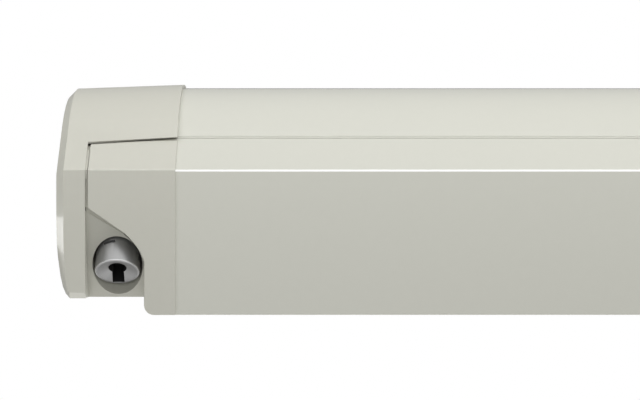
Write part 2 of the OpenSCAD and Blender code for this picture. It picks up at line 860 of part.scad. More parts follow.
module leg_pins() {
    color(silver) leg_frame(lower_lane) rotate([90, 0, 0])
        cylinder(r = leg_pin_radius, h = leg_channel, center = true);
    color(silver) right_hand() leg_frame(upper_lane) rotate([90, 0, 0])
        cylinder(r = leg_pin_radius, h = leg_channel, center = true);
}

module leg_hinge(lane) {
    w = leg_size / 2 - leg_wall - fit;
    color(plastic_grey) difference() {
        leg_frame(lane) {
            rotate([90, 0, 0]) cylinder(r = leg_eye, h = eye_width, center = true);
            box(0, leg_start, -eye_width / 2, eye_width / 2, -leg_eye + 1.5, leg_eye - 1.5);
            bar(leg_start - 2.5, leg_start, 0, leg_size, leg_size, leg_corner);
            bar(leg_start - 1, leg_start + 20, 0, 2 * w, 2 * w, inside(leg_corner, leg_wall));
        }
        leg_bore(lane, leg_pin_radius + pin_gap);
    }
}

module square_tube(x0, x1, size, wall, corner) {
    hollow = size - 2 * wall;
    difference() {
        bar(x0, x1, 0, size, size, corner);
        bar(x0 - 1, x1 + 1, 0, hollow, hollow, inside(corner, wall));
    }
}

leg_end = leg_start + leg_length;

module leg_tube(lane) {
    color(silver) leg_frame(lane) square_tube(leg_start, leg_end, leg_size, leg_wall, leg_corner);
}

// Collar that guides the inner tube at the end of the outer tube
module leg_collar(lane) {
    sleeve = leg_size - 2 * leg_wall - 2 * fit;
    guide = leg_inner + 0.12;
    color(plastic_grey) leg_frame(lane) difference() {
        union() {
            bar(leg_end, leg_end + 6, 0, leg_size, leg_size, leg_corner);
            bar(leg_end - collar_length, leg_end + 1, 0, sleeve, sleeve, inside(leg_corner, leg_wall));
        }
        bar(leg_end - 2 * collar_length, leg_end + 10, 0, guide, guide, inner_corner);
    }
}

module leg_inner_tube(lane) {
    color(silver) leg_frame(lane)
        square_tube(leg_start + 60, leg_end + 10, leg_inner, leg_wall, inner_corner);
}

module leg_foot(lane) {
    w = leg_inner / 2 - leg_wall - fit;
    color(plastic_grey) leg_frame(lane) {
        bar(leg_end - 10, leg_end + 11, 0, 2 * w, 2 * w, inside(inner_corner, leg_wall));
        bar(leg_end + 10, leg_end + 10 + foot_length, 0, leg_size, leg_size, leg_corner);
    }
}

// The right-hand pieces
module left_upper_shoulder() { upper_shoulder(); }
module left_upper_tube() { upper_tube(); }
module left_upper_elbow() { upper_elbow(); }
module left_elbow_pin() { elbow_pin(); }
module left_fore_elbow() { fore_elbow(); }
module left_fore_tube() { fore_tube(); }
module left_fore_wrist() { fore_wrist(); }
module right_upper_shoulder() { right_hand() upper_shoulder(); }
module right_upper_tube() { right_hand() upper_tube(); }
module right_upper_elbow() { right_hand() upper_elbow(); }
module right_elbow_pin() { right_hand() elbow_pin(); }
module right_fore_elbow() { right_hand() fore_elbow(); }
module right_fore_tube() { right_hand() fore_tube(); }
module right_fore_wrist() { right_hand() fore_wrist(); }
module right_wrist_bracket() { right_hand() left_wrist_bracket(); }
module left_leg_bracket() { leg_bracket(lower_lane); }
module right_leg_bracket() { right_hand() leg_bracket(upper_lane); }
module left_leg_hinge() { leg_hinge(lower_lane); }
module left_leg_tube() { leg_tube(lower_lane); }
module left_leg_collar() { leg_collar(lower_lane); }
module left_leg_inner() { leg_inner_tube(lower_lane); }
module left_leg_foot() { leg_foot(lower_lane); }
module right_leg_hinge() { right_hand() leg_hinge(upper_lane); }
module right_leg_tube() { right_hand() leg_tube(upper_lane); }
module right_leg_collar() { right_hand() leg_collar(upper_lane); }
module right_leg_inner() { right_hand() leg_inner_tube(upper_lane); }
module right_leg_foot() { right_hand() leg_foot(upper_lane); }

cassette();
hood_seal();
wall_seal();
left_end_cap();
right_end_cap();
cap_screws();
gearbox();
idler_bearing();
left_shoulder_bracket();
right_shoulder_bracket();
bracket_bolts();
shoulder_pins();
crank_eye();
worm();
worm_wheel();
roller_tube();
drive_plug();
idler_plug();
canvas_roll();
canvas_strip();
left_upper_shoulder();
left_upper_tube();
left_upper_elbow();
left_elbow_pin();
left_fore_elbow();
left_fore_tube();
left_fore_wrist();
right_upper_shoulder();
right_upper_tube();
right_upper_elbow();
right_elbow_pin();
right_fore_elbow();
right_fore_tube();
right_fore_wrist();
lead_rail();
canvas_bead();
left_rail_cap();
right_rail_cap();
left_wrist_bracket();
right_wrist_bracket();
wrist_pins();
left_leg_bracket();
right_leg_bracket();
leg_pins();
left_leg_hinge();
left_leg_tube();
left_leg_collar();
left_leg_inner();
left_leg_foot();
right_leg_hinge();
right_leg_tube();
right_leg_collar();
right_leg_inner();
right_leg_foot();
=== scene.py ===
"""Looks of a closed cassette awning: cream profiles, moulded caps, crank eye, arms, legs and canvas."""

from __future__ import annotations

import json
import logging
import math
from dataclasses import asdict, dataclass, fields
from enum import Enum
from functools import cache
from typing import Callable, Iterable, Sequence

import bmesh
import bpy
from bmesh.types import BMEdge, BMesh
from bpy.types import Material, Mesh, MeshPolygon, Node, NodeOutputs, NodeSocket, NodeTree, Object, World
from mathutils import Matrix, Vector
from mathutils.bvhtree import BVHTree

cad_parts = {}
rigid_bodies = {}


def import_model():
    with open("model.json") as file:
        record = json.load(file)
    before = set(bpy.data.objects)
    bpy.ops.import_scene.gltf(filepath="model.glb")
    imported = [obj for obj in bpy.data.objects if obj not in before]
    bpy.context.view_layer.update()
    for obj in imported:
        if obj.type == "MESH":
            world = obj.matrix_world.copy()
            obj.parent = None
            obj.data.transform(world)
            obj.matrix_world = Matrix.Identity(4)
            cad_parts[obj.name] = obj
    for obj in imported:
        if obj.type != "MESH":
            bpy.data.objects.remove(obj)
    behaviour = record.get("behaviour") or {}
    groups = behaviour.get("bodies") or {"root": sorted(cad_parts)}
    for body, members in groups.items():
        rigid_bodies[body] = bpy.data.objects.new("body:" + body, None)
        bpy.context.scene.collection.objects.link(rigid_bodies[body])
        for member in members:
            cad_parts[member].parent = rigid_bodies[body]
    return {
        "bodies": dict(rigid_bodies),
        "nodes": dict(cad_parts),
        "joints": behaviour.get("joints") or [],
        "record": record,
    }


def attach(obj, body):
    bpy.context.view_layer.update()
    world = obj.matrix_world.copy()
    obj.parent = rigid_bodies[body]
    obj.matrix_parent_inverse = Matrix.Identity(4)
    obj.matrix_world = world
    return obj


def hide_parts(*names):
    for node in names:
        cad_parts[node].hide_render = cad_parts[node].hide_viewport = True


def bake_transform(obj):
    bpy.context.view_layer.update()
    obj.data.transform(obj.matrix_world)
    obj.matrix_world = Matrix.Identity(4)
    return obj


LOG = logging.getLogger("awning")
MM = 0.001
FLOAT = "NodeSocketFloat"
COLOUR = "NodeSocketColor"
GEOMETRY = "NodeSocketGeometry"
# In metres: the seams of the caps, half of the cloth's width, and points that are taken as one.
SEAM_X = 0.89
SEAM_NEAR = 2e-5
CLOTH_HALF = 0.868
MERGE = 2e-6
SLIVER = 5e-6
# Angles between faces that are one plane, that are rounded, and that are shaded hard.
FLAT_DEGREES = 0.4
SHARP_DEGREES = 28.0
CREASE_DEGREES = 32.0
# Room for rounding in its own widths, the widths that are tried, and how far one may leave the surface.
TURN_SHARE = 0.4
ROOM_NEEDED = 2.2
WIDTH_STEPS = (1.0, 0.75, 0.55, 0.4, 0.28)
STRAY_SHARE = 0.8
Colour = tuple[float, float, float]
Point = tuple[float, float, float]
Pair = tuple[float, float]
EdgeChoice = Callable[[BMEdge], bool]
FaceChoice = Callable[[MeshPolygon], bool]


class Side(Enum):
    """The two ends of the awning, by their sign along X."""

    LEFT = -1
    RIGHT = 1

    @property
    def word(self) -> str:
        """Name used in the node names."""
        return self.name.lower()

    def names(self, *nodes: str) -> list[str]:
        """Names of this end's nodes."""
        return [f"{self.word}_{node}" for node in nodes]


class Tree:
    """Short calls for building a node tree."""

    MIX_INPUTS = (0, 6, 7)
    MIX_RESULT = 2

    def __init__(self, tree: NodeTree) -> None:
        """Keeps the shader or geometry tree to build in."""
        self.tree = tree

    @classmethod
    def group(cls, name: str, inputs: dict[str, str], outputs: dict[str, str],
              kind: str = "ShaderNodeTree") -> Tree:
        """Starts a node group with its sockets.

        Args:
            name: group name.
            inputs: socket type by input name.
            outputs: socket type by output name.
            kind: type of the tree.

        Returns:
            The helper for the group's tree.
        """
        tree = bpy.data.node_groups.new(name, kind)
        for way, sockets in (("INPUT", inputs), ("OUTPUT", outputs)):
            for key, socket in sockets.items():
                tree.interface.new_socket(key, in_out=way, socket_type=socket)
        return cls(tree)

    def add(self, kind: str, **values: object) -> Node:
        """Adds a node.

        Args:
            kind: the node's type name.
            values: its properties, in small letters, and its inputs as put takes them, capitalised.

        Returns:
            The new node.
        """
        node = self.tree.nodes.new(kind)
        properties = [name for name in values if name.islower()]
        for name in properties:
            setattr(node, name, values.pop(name))
        return self.put(node, **values)

    def feed(self, socket: NodeSocket, value: object) -> None:
        """Links or sets one input.

        Args:
            socket: the input.
            value: an output socket to link, or a value, of three numbers for a colour.
        """
        if isinstance(value, NodeSocket):
            self.tree.links.new(value, socket)
        elif socket.type == "RGBA":
            socket.default_value = (*value, 1.0)
        else:
            socket.default_value = value

    def put(self, node: Node, **inputs: object) -> Node:
        """Sets or links inputs, with spaces written as underscores.

        Args:
            node: node whose inputs are filled.
            inputs: a value or an output socket by input name.

        Returns:
            The same node.
        """
        for name, value in inputs.items():
            self.feed(node.inputs[name.replace("_", " ")], value)
        return node

    def first(self, kind: str, **values: object) -> NodeSocket:
        """Adds a node as add does, and gives its first output."""
        return self.add(kind, **values).outputs[0]

    def use(self, group: NodeTree, **inputs: object) -> NodeOutputs:
        """Places a shared shader group, fills its inputs as put does, and gives its outputs."""
        return self.add("ShaderNodeGroup", node_tree=group, **inputs).outputs

    def math(self, operation: str, *values: object) -> NodeSocket:
        """Adds a Math node.

        Args:
            operation: the node's operation.
            values: numbers or sockets for its inputs in order.

        Returns:
            The node's output.
        """
        node = self.add("ShaderNodeMath", operation=operation)
        for socket, value in zip(node.inputs, values):
            self.feed(socket, value)
        return node.outputs[0]

    def limit(self, value: NodeSocket) -> NodeSocket:
        """Keeps a value between 0 and 1."""
        return self.math("MAXIMUM", self.math("MINIMUM", value, 1.0), 0.0)

    def mix(self, factor: NodeSocket, a: object, b: object) -> NodeSocket:
        """Mixes two colours.

        Args:
            factor: share of the second colour, from 0 to 1.
            a: first colour, as three numbers or a socket.
            b: second colour, as three numbers or a socket.

        Returns:
            The mixed colour.
        """
        node = self.add("ShaderNodeMix", data_type="RGBA")
        for number, value in zip(self.MIX_INPUTS, (factor, a, b)):
            self.feed(node.inputs[number], value)
        return node.outputs[self.MIX_RESULT]

    def noise(self, vector: NodeSocket, scale: object, detail: float, rough: float) -> NodeSocket:
        """Adds a noise texture of a scale in cells per metre, and gives its value."""
        return self.first("ShaderNodeTexNoise", Vector=vector, Scale=scale, Detail=detail, Roughness=rough)


class Effect:
    """Shader node groups that several finishes share, each built at its first use."""

    SPECK_SHARE = 0.6
    ROUGHNESS_SWING = 0.12
    BREAKS_PER_METRE = 240.0
    LINE_STRETCH = (0.02, 1.0, 1.0)
    STITCH_HALF = 0.0007

    @classmethod
    @cache
    def surface_grain(cls) -> NodeTree:
        """Makes a grained height, a mottled colour and a roughness that varies with it.

        Returns:
            The group.
        """
        inputs = {"Colour": COLOUR, "Shade": COLOUR, "Grain": FLOAT, "Mottle": FLOAT, "Spread": FLOAT,
                  "Roughness": FLOAT}
        tree = Tree.group("surface_grain", inputs, {"Colour": COLOUR, "Roughness": FLOAT, "Height": FLOAT})
        given = tree.add("NodeGroupInput").outputs
        place = tree.add("ShaderNodeTexCoord").outputs["Object"]
        fine = tree.noise(place, given["Grain"], detail=3.0, rough=0.6)
        broad = tree.noise(place, given["Mottle"], detail=4.0, rough=0.6)
        centred = tree.math("SUBTRACT", broad, 0.5)
        middle = tree.math("MULTIPLY", given["Spread"], 0.5)
        amount = tree.math("MULTIPLY_ADD", centred, given["Spread"], middle)
        speck = tree.math("MULTIPLY", tree.math("SUBTRACT", fine, 0.5), given["Spread"])
        factor = tree.math("ADD", amount, tree.math("MULTIPLY", speck, cls.SPECK_SHARE))
        colour = tree.mix(tree.limit(factor), given["Colour"], given["Shade"])
        rough = tree.math("MULTIPLY_ADD", centred, cls.ROUGHNESS_SWING, given["Roughness"])
        tree.add("NodeGroupOutput", Colour=colour, Roughness=rough, Height=fine)
        return tree.tree

    @classmethod
    @cache
    def edge_dust(cls) -> NodeTree:
        """Makes a mask of rubbed edges, from the surface's own pointiness.

        Returns:
            The group.
        """
        tree = Tree.group("edge_dust", {"Reach": FLOAT}, {"Edges": FLOAT})
        given = tree.add("NodeGroupInput").outputs
        point = tree.add("ShaderNodeNewGeometry").outputs["Pointiness"]
        place = tree.add("ShaderNodeTexCoord").outputs["Object"]
        broken = tree.noise(place, cls.BREAKS_PER_METRE, detail=3.0, rough=0.55)
        edge = tree.math("DIVIDE", tree.math("SUBTRACT", point, 0.5), given["Reach"])
        tree.add("NodeGroupOutput", Edges=tree.math("MULTIPLY", tree.limit(edge), broken))
        return tree.tree

    @classmethod
    @cache
    def drawn_lines(cls) -> NodeTree:
        """Makes fine lines along X, as on drawn or brushed metal.

        Returns:
            The group.
        """
        tree = Tree.group("drawn_lines", {"Density": FLOAT}, {"Lines": FLOAT})
        given = tree.add("NodeGroupInput").outputs
        place = tree.add("ShaderNodeTexCoord").outputs["Object"]
        long = tree.first("ShaderNodeMapping", Vector=place, Scale=cls.LINE_STRETCH)
        lines = tree.noise(long, given["Density"], detail=3.0, rough=0.65)
        tree.add("NodeGroupOutput", Lines=lines)
        return tree.tree

    @classmethod
    @cache
    def plain_weave(cls) -> NodeTree:
        """Makes the over and under of a plain weave, and the side hems, on a place in metres of cloth.

        Returns:
            The group.
        """
        inputs = dict.fromkeys(("Threads", "Across", "Along", "Hem", "Stitch"), FLOAT)
        tree = Tree.group("plain_weave", inputs, dict.fromkeys(("Height", "Warp", "Hem", "Stitch"), FLOAT))
        given = tree.add("NodeGroupInput").outputs
        u, v = (tree.math("MULTIPLY", given[way], given["Threads"]) for way in ("Across", "Along"))
        wave_u, wave_v = (tree.math("ABSOLUTE", tree.math("SINE", tree.math("MULTIPLY", way, math.pi)))
                          for way in (u, v))
        cell = tree.math("ADD", tree.math("FLOOR", u), tree.math("FLOOR", v))
        over = tree.math("MODULO", tree.math("ABSOLUTE", cell), 2.0)
        high = tree.math("MULTIPLY", over, wave_u)
        low = tree.math("MULTIPLY", tree.math("SUBTRACT", 1.0, over), wave_v)
        reach = tree.math("ABSOLUTE", given["Across"])
        tree.add("NodeGroupOutput", Height=tree.math("ADD", high, low), Warp=over,
                 Hem=tree.math("GREATER_THAN", reach, given["Hem"]),
                 Stitch=tree.math("COMPARE", reach, given["Stitch"], cls.STITCH_HALF))
        return tree.tree


def new_material(name: str) -> tuple[Material, Tree, Node]:
    """Makes an empty material with a Principled shader.

    Args:
        name: material name.

    Returns:
        The material, its tree helper and its shader.
    """
    material = bpy.data.materials.new(name)
    material.use_nodes = True
    material.node_tree.nodes.clear()
    tree = Tree(material.node_tree)
    shader = tree.add("ShaderNodeBsdfPrincipled")
    tree.add("ShaderNodeOutputMaterial", Surface=shader.outputs[0])
    return material, tree, shader


@dataclass(frozen=True)
class Skin:
    """Grain, mottle and rubbed edges of a hard finish, with its relief in metres."""

    grain: float
    mottle: float
    spread: float
    reach: float
    rub: float
    gain: float
    relief: float
    lift: float = 0.0
    lines: float = 0.0

    def lay(self, name: str, colour: Colour, shade: Colour, roughness: float,
            depth: float) -> tuple[Material, Tree, Node]:
        """Makes a material with this skin.

        Args:
            name: material name.
            colour: main colour.
            shade: colour that it is mottled with.
            roughness: middle of the roughness.
            depth: strength of the relief.

        Returns:
            The material, its tree helper and its shader.
        """
        material, tree, shader = new_material(name)
        grain = tree.use(Effect.surface_grain(), Colour=colour, Shade=shade, Grain=self.grain,
                         Mottle=self.mottle, Spread=self.spread, Roughness=roughness)
        edges = tree.use(Effect.edge_dust(), Reach=self.reach)["Edges"]
        rubbed = [min(1.0, c * self.gain + self.lift) for c in colour]
        base = tree.mix(tree.math("MULTIPLY", edges, self.rub), grain["Colour"], rubbed)
        height = grain["Height"]
        if self.lines:
            height = tree.use(Effect.drawn_lines(), Density=self.lines)["Lines"]
        bump = tree.first("ShaderNodeBump", Strength=depth, Distance=self.relief, Height=height)
        tree.put(shader, Base_Color=base, Roughness=grain["Roughness"], Normal=bump)
        return material, tree, shader


@dataclass(frozen=True)
class Painted:
    """Smooth paint on an extruded profile, with a faint orange peel."""

    name: str
    colour: Colour
    shade: Colour
    roughness: float = 0.34
    coat: float = 0.25
    peel: float = 0.05

    def material(self) -> Material:
        """Builds the paint.

        Returns:
            The material.
        """
        skin = Skin(grain=650.0, mottle=7.0, spread=0.22, reach=0.08, rub=0.35, gain=1.06, relief=0.0002)
        material, tree, shader = skin.lay(self.name, self.colour, self.shade, self.roughness, self.peel)
        tree.put(shader, Coat_Weight=self.coat, Coat_Roughness=0.16, IOR=1.48)
        return material


@dataclass(frozen=True)
class Moulded:
    """Injection-moulded plastic with a fine spark-eroded grain."""

    name: str
    colour: Colour
    shade: Colour
    roughness: float = 0.5
    grain: float = 1500.0
    depth: float = 0.16
    coat: float = 0.0
    glow: float = 0.0

    def material(self) -> Material:
        """Builds the grained plastic.

        Returns:
            The material.
        """
        skin = Skin(grain=self.grain, mottle=18.0, spread=0.3, reach=0.07, rub=0.4, gain=1.08,
                    relief=0.0003, lift=0.01)
        material, tree, shader = skin.lay(self.name, self.colour, self.shade, self.roughness, self.depth)
        tree.put(shader, Coat_Weight=self.coat, Coat_Roughness=0.1, IOR=1.47)
        tree.put(shader, Emission_Color=self.colour, Emission_Strength=self.glow)
        return material


@dataclass(frozen=True)
class Metal:
    """Bare or plated metal with drawn lines or a cast skin, dull patches and brighter edges."""

    name: str
    colour: Colour
    roughness: float
    lines: float = 0.0
    depth: float = 0.1
    metallic: float = 1.0
    dullness: float = 0.82

    def material(self) -> Material:
        """Builds the metal.

        Returns:
            The material.
        """
        skin = Skin(grain=900.0, mottle=40.0, spread=0.5, reach=0.05, rub=0.6, gain=1.18, relief=0.0002,
                    lines=self.lines)
        dull = tuple(c * self.dullness for c in self.colour)
        material, tree, shader = skin.lay(self.name, self.colour, dull, self.roughness, self.depth)
        tree.put(shader, Metallic=self.metallic)
        return material


@dataclass(frozen=True)
class Canvas:
    """Coated acrylic canvas in a plain weave, with a stitched hem at each side."""

    name: str
    drawn: bool = False
    colour: Colour = (0.30, 0.32, 0.335)
    dark: Colour = (0.17, 0.185, 0.2)
    thread_colour: Colour = (0.45, 0.46, 0.47)
    threads: float = 1200.0
    hem: float = 0.848
    stitch: float = 0.852

    def material(self) -> Material:
        """Builds the cloth with two thread colours and a weave in relief.

        Returns:
            The material.
        """
        material, tree, shader = new_material(self.name)
        if self.drawn:
            place = tree.add("ShaderNodeTexCoord").outputs["Object"]
        else:
            place = tree.add("ShaderNodeUVMap", uv_map="cloth").outputs[0]
        parts = tree.add("ShaderNodeSeparateXYZ", Vector=place).outputs
        weave = tree.use(Effect.plain_weave(), Threads=self.threads, Across=parts[0], Along=parts[1],
                         Hem=self.hem, Stitch=self.stitch)
        grain = tree.use(Effect.surface_grain(), Colour=self.colour, Shade=self.dark, Grain=300.0,
                         Mottle=9.0, Spread=0.45, Roughness=0.82)
        base = grain["Colour"]
        for part, share, colour in (("Warp", 0.28, self.dark), ("Hem", 0.4, self.dark),
                                    ("Stitch", 0.7, self.thread_colour)):
            base = tree.mix(tree.math("MULTIPLY", weave[part], share), base, colour)
        bump = tree.first("ShaderNodeBump", Strength=0.35, Distance=0.0004, Height=weave["Height"])
        tree.put(shader, Base_Color=base, Roughness=grain["Roughness"], Normal=bump)
        tree.put(shader, Sheen_Weight=0.2, Sheen_Roughness=0.5)
        return material


class Finish(Enum):
    """The finishes of the awning. Those that a piece is seated with are named for the record's slots."""

    PROFILE = Painted("cream_profile_paint", (0.620, 0.620, 0.555), (0.587, 0.587, 0.522))
    CAP = Moulded("cream_cap_plastic", (0.57, 0.565, 0.5), (0.535, 0.53, 0.465), 0.42, coat=0.35)
    # Painted highlight: near-white paint on the lead rail's rounded front edge, standing in for the light
    # that edge catches.
    EDGE = Painted("rubbed_edge", (0.97, 0.97, 0.95), (0.94, 0.94, 0.92), 0.22, 0.6)
    SEAL = Moulded("black_rubber", (0.018, 0.018, 0.018), (0.03, 0.03, 0.03), 0.72, 700.0, 0.3)
    CANVAS = Canvas("grey_canvas")
    DRAWN_CANVAS = Canvas("drawn_canvas", drawn=True)
    EYE = Metal("cast_eye_metal", (0.3, 0.3, 0.3), 0.52, metallic=0.65)
    # Painted highlight: a lighter metal colour on the eye's rounded rim stands in for the light the rim
    # catches; its lower roughness is the rim's own gloss.
    RIM = Metal("rubbed_eye_rim", (0.55, 0.55, 0.55), 0.32, metallic=0.75)
    GREY_PLASTIC = Moulded("grey_plastic", (0.085, 0.088, 0.09), (0.06, 0.062, 0.065), 0.5, 1100.0, 0.2)
    STEEL = Metal("zinc_steel", (0.62, 0.62, 0.63), 0.3, lines=900.0, depth=0.06)
    ARM_PROFILE = Painted("cream_arm_paint", (0.65, 0.645, 0.575), (0.61, 0.605, 0.535), 0.38, 0.15)
    ALLOY = Metal("satin_alloy", (0.48, 0.48, 0.49), 0.45)
    # Painted shade: near-black on the keyhole's walls, standing in for the shade in the deep hole.
    DARK = Moulded("dark_inside", (0.012, 0.012, 0.012), (0.02, 0.02, 0.02), 0.85, 500.0, 0.2)
    FLOOR = Moulded("pale_floor", (0.86, 0.86, 0.85), (0.83, 0.83, 0.82), 0.8, 40.0, 0.02, glow=0.28)

    @property
    def slot(self) -> str:
        """The record's slot name."""
        return self.name.lower()

    def look(self) -> Material:
        """The finish's material, built at its first use."""
        found = bpy.data.materials.get(self.value.name)
        return found or self.value.material()


class Frame:
    """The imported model, with calls that dress its nodes or stand a finer piece in their place."""

    def __init__(self) -> None:
        """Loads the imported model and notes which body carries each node."""
        self.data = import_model()
        self.body_of = {node: body for body, nodes in self.data["record"]["behaviour"]["bodies"].items()
                        for node in nodes}

    def dress(self, finish: Finish, *nodes: str) -> None:
        """Gives nodes their finish.

        Args:
            finish: finish for all of their slots.
            nodes: node names.
        """
        for node in nodes:
            self.paint(self.data["nodes"][node], finish)
            LOG.info("%s keeps its CAD mesh", node)

    @staticmethod
    def paint(piece: Object, finish: Finish) -> None:
        """Fills every slot of a piece with one finish.

        Args:
            piece: mesh object.
            finish: the finish.
        """
        look = finish.look()
        if not piece.material_slots:
            piece.data.materials.append(look)
        for slot in piece.material_slots:
            slot.material = look

    def seat(self, piece: Object, body: str, finish: Finish, *nodes: str) -> None:
        """Rides a finished piece on a body, in place of the nodes it stands for.

        Args:
            piece: finished mesh object.
            body: body that carries it.
            finish: finish whose slot it takes.
            nodes: nodes that it replaces.
        """
        self.paint(piece, finish)
        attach(piece, body)
        if nodes:
            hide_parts(*nodes)
        LOG.info("%s rides on %s", piece.name, body)

    def soften(self, finish: Finish, rounding: Rounding, *nodes: str) -> Mesh:
        """Stands copies with rounded edges in the place of nodes.

        Args:
            finish: finish of the copies.
            rounding: rounding of their edges.
            nodes: node names.

        Returns:
            The mesh of the last copy.
        """
        for node in nodes:
            mesh = self.data["nodes"][node].data.copy()
            mesh.materials.clear()
            work = bmesh.new()
            work.from_mesh(mesh)
            bmesh.ops.remove_doubles(work, verts=work.verts, dist=MERGE)
            bmesh.ops.dissolve_limit(work, angle_limit=math.radians(FLAT_DEGREES), verts=work.verts,
                                     edges=work.edges, use_dissolve_boundaries=False, delimit=set())
            work.to_mesh(mesh)
            work.free()
            piece = bpy.data.objects.new(f"{node}_piece", mesh)
            bpy.context.scene.collection.objects.link(piece)
            rounding.finish(piece)
            self.seat(piece, self.body_of[node], finish, node)
        return piece.data


def off_seam(edge: BMEdge) -> bool:
    """Tells whether an edge lies outside the seams between caps and profiles, which stay shut."""
    places = [v.co.x for v in edge.verts]
    return all(max(abs(x - side.value * SEAM_X) for x in places) > SEAM_NEAR for side in Side)


def room_beside(edge: BMEdge) -> float:
    """Room for rounding in the two faces of an edge.

    Args:
        edge: edge between two faces.

    Returns:
        How far the shortest of the edges that turn off at its ends reaches away from it, in metres.
    """
    start, end = edge.verts
    along = (end.co - start.co).normalized()
    rooms = [1.0]
    for loop in edge.link_loops:
        for other in (loop.link_loop_next.edge, loop.link_loop_prev.edge):
            way = other.verts[1].co - other.verts[0].co
            aside = (way - along * way.dot(along)).length
            if aside > TURN_SHARE * way.length:
                rooms.append(aside)
    return min(rooms)


@dataclass(frozen=True)
class Rounding:
    """Width and steps of rounded edges, a test of the edges if not all, and the degrees of a hard edge."""

    width_mm: float
    steps: int = 2
    chosen: EdgeChoice | None = None
    crease: float = CREASE_DEGREES

    def cut(self, sharp: BMesh, width: float) -> BMesh:
        """Rounds the sharp edges that have room for it.

        Args:
            sharp: mesh with sharp edges, which stays as it is.
            width: width of the rounding in metres.

        Returns:
            A rounded copy.
        """
        work = sharp.copy()
        limit = math.radians(SHARP_DEGREES)
        edges = [e for e in work.edges if len(e.link_faces) == 2 and e.calc_face_angle(0.0) > limit
                 and (self.chosen is None or self.chosen(e)) and room_beside(e) > ROOM_NEEDED * width]
        bmesh.ops.bevel(work, geom=edges, offset=width, offset_type="OFFSET", segments=self.steps,
                        profile=0.5, affect="EDGES", clamp_overlap=False)
        bmesh.ops.remove_doubles(work, verts=work.verts, dist=SLIVER)
        bmesh.ops.dissolve_degenerate(work, edges=work.edges, dist=SLIVER)
        return work

    def finish(self, piece: Object) -> None:
        """Rounds a piece by the widest step that keeps to its surface, and shades its curves smooth.

        Args:
            piece: mesh object at the origin.
        """
        sharp = bmesh.new()
        sharp.from_mesh(piece.data)
        surface = BVHTree.FromBMesh(sharp)
        for share in WIDTH_STEPS:
            width = self.width_mm * MM * share
            work = self.cut(sharp, width)
            astray = max(surface.find_nearest(v.co)[3] for v in work.verts)
            fits = astray < STRAY_SHARE * width
            if fits:
                work.to_mesh(piece.data)
            work.free()
            if fits:
                LOG.info("%s has edges rounded by %.2f mm", piece.name, width / MM)
                break
        sharp.free()
        shade_by_angle(piece.data, self.crease)
        flat = piece.modifiers.new("flat_faces", "WEIGHTED_NORMAL")
        flat.keep_sharp = True
        apply_modifiers(piece)


def apply_modifiers(piece: Object) -> None:
    """Turns a piece with modifiers into a plain mesh.

    Args:
        piece: mesh object.
    """
    bpy.context.view_layer.update()
    graph = bpy.context.evaluated_depsgraph_get()
    mesh = bpy.data.meshes.new_from_object(piece.evaluated_get(graph))
    old = piece.data
    piece.modifiers.clear()
    piece.data = mesh
    mesh.name = piece.name
    bpy.data.meshes.remove(old)


def shade_by_angle(mesh: Mesh, degrees: float) -> None:
    """Shades faces smooth, with a hard edge where they turn by more than an angle.

    Args:
        mesh: mesh to shade.
        degrees: the angle.
    """
    work = bmesh.new()
    work.from_mesh(mesh)
    limit = math.radians(degrees)
    for face in work.faces:
        face.smooth = True
    for edge in work.edges:
        edge.smooth = len(edge.link_faces) == 2 and edge.calc_face_angle(0.0) < limit
    work.to_mesh(mesh)
    work.free()


def add_piece(name: str, points: Iterable[Sequence[float]], faces: Iterable[Sequence[int]]) -> Object:
    """Makes a mesh object at the origin.

    Args:
        name: piece name.
        points: corners in metres.
        faces: corner numbers of each face.

    Returns:
        The new object.
    """
    mesh = bpy.data.meshes.new(name)
    mesh.from_pydata([tuple(p) for p in points], [], [tuple(f) for f in faces])
    mesh.update()
    piece = bpy.data.objects.new(name, mesh)
    bpy.context.scene.collection.objects.link(piece)
    return piece


def islands(node: Object) -> list[tuple[Vector, Vector]]:
    """Finds the separate solids of a node.

    Args:
        node: node whose mesh holds several solids.

    Returns:
        The lowest and highest corner of each solid, from the lowest X on.
    """
    work = bmesh.new()
    work.from_mesh(node.data)
    bmesh.ops.remove_doubles(work, verts=work.verts, dist=MERGE)
    left = set(work.verts)
    boxes = []
    while left:
        group = [left.pop()]
        for point in group:
            near = {e.other_vert(point) for e in point.link_edges} & left
            left -= near
            group.extend(near)
        low = Vector(min(v.co[i] for v in group) for i in range(3))
        high = Vector(max(v.co[i] for v in group) for i in range(3))
        boxes.append((low, high))
    work.free()
    return sorted(boxes, key=lambda b: (round(b[0].x, 5), round(b[0].y, 5), round(b[0].z, 5)))


